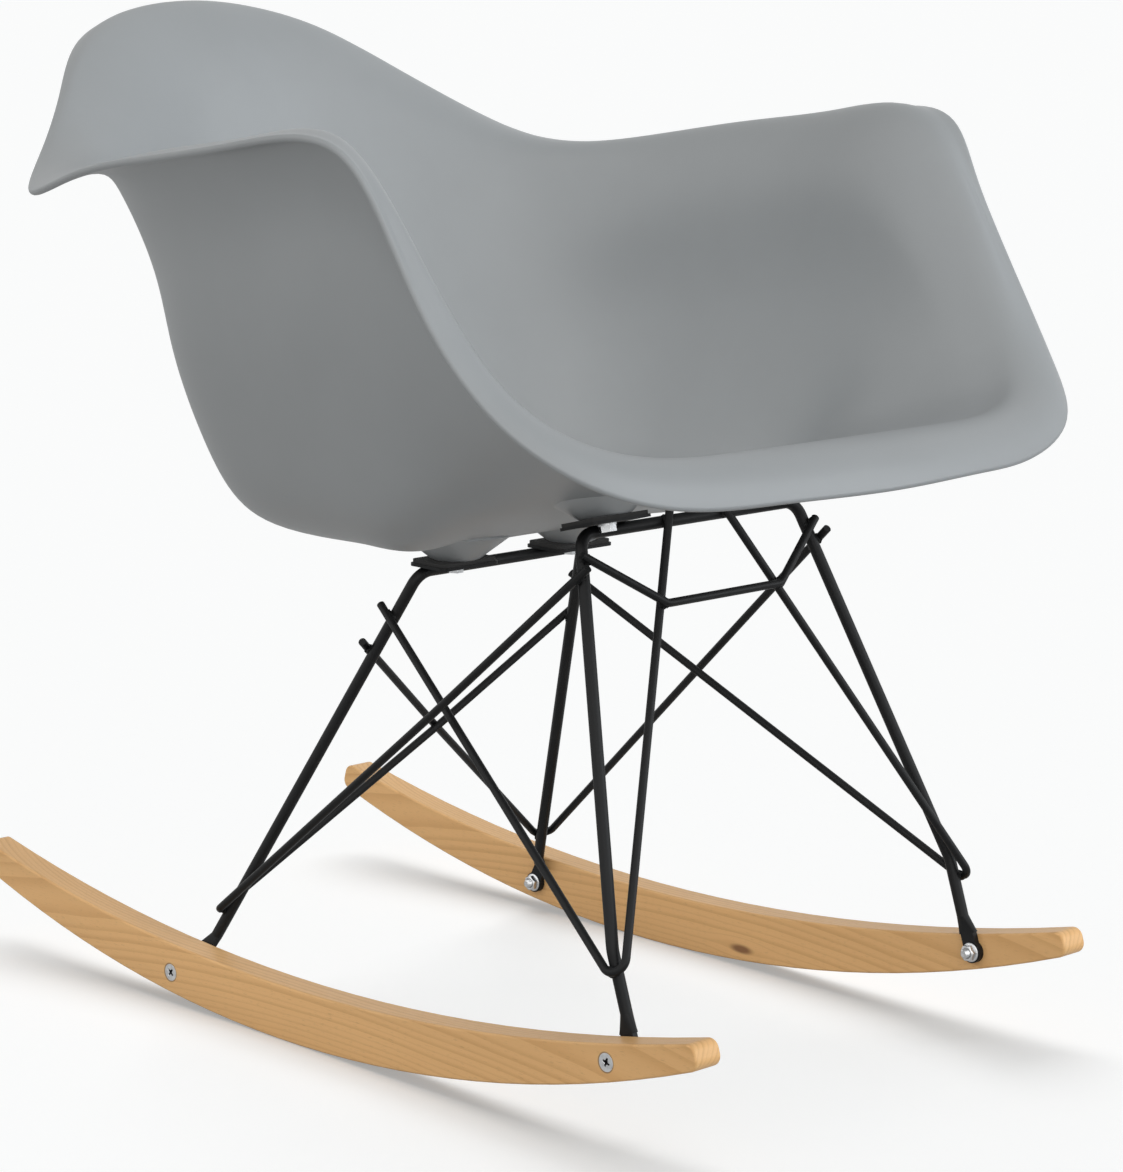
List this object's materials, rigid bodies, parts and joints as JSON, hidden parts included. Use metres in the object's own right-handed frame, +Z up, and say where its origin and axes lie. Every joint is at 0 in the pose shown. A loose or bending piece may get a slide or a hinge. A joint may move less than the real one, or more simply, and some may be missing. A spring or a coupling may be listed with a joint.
{
  "type": "rocking chair",
  "caption": "Moulded plastic armchair shell on a braced black rod base with two curved wooden rockers.",
  "frame": {"origin": "centre of the chair's bounding box, on the floor under the rockers", "axes": "+Z up, the sitter faces -Y, +X is the sitter's left; the chair is mirrored about the plane X = 0"},
  "size_m": [0.6104, 0.7138, 0.7006],
  "materials": {
    "shell_plastic": "satin",
    "insert_brass": "plain",
    "pad_rubber": "matte",
    "frame_black": "satin powder coat",
    "rocker_wood": "clear satin lacquer",
    "zinc_steel": "zinc plated"
  },
  "bodies": {
    "root": {"seat_shell": "shell_plastic", "seat_inserts": "insert_brass", "seat_pad_front_left": "pad_rubber", "seat_pad_front_right": "pad_rubber", "seat_pad_rear_left": "pad_rubber", "seat_pad_rear_right": "pad_rubber", "mount_plate_front_left": "frame_black", "mount_plate_front_right": "frame_black", "mount_plate_rear_left": "frame_black", "mount_plate_rear_right": "frame_black", "front_hoop": "frame_black", "rear_hoop": "frame_black", "front_stretcher": "frame_black", "side_brace_left": "frame_black", "side_brace_right": "frame_black", "cross_brace_left": "frame_black", "cross_brace_right": "frame_black", "rocker_left": "rocker_wood", "rocker_right": "rocker_wood", "rocker_screws": "zinc_steel", "rocker_nuts": "zinc_steel", "seat_bolts": "zinc_steel"}
  },
  "joints": []
}
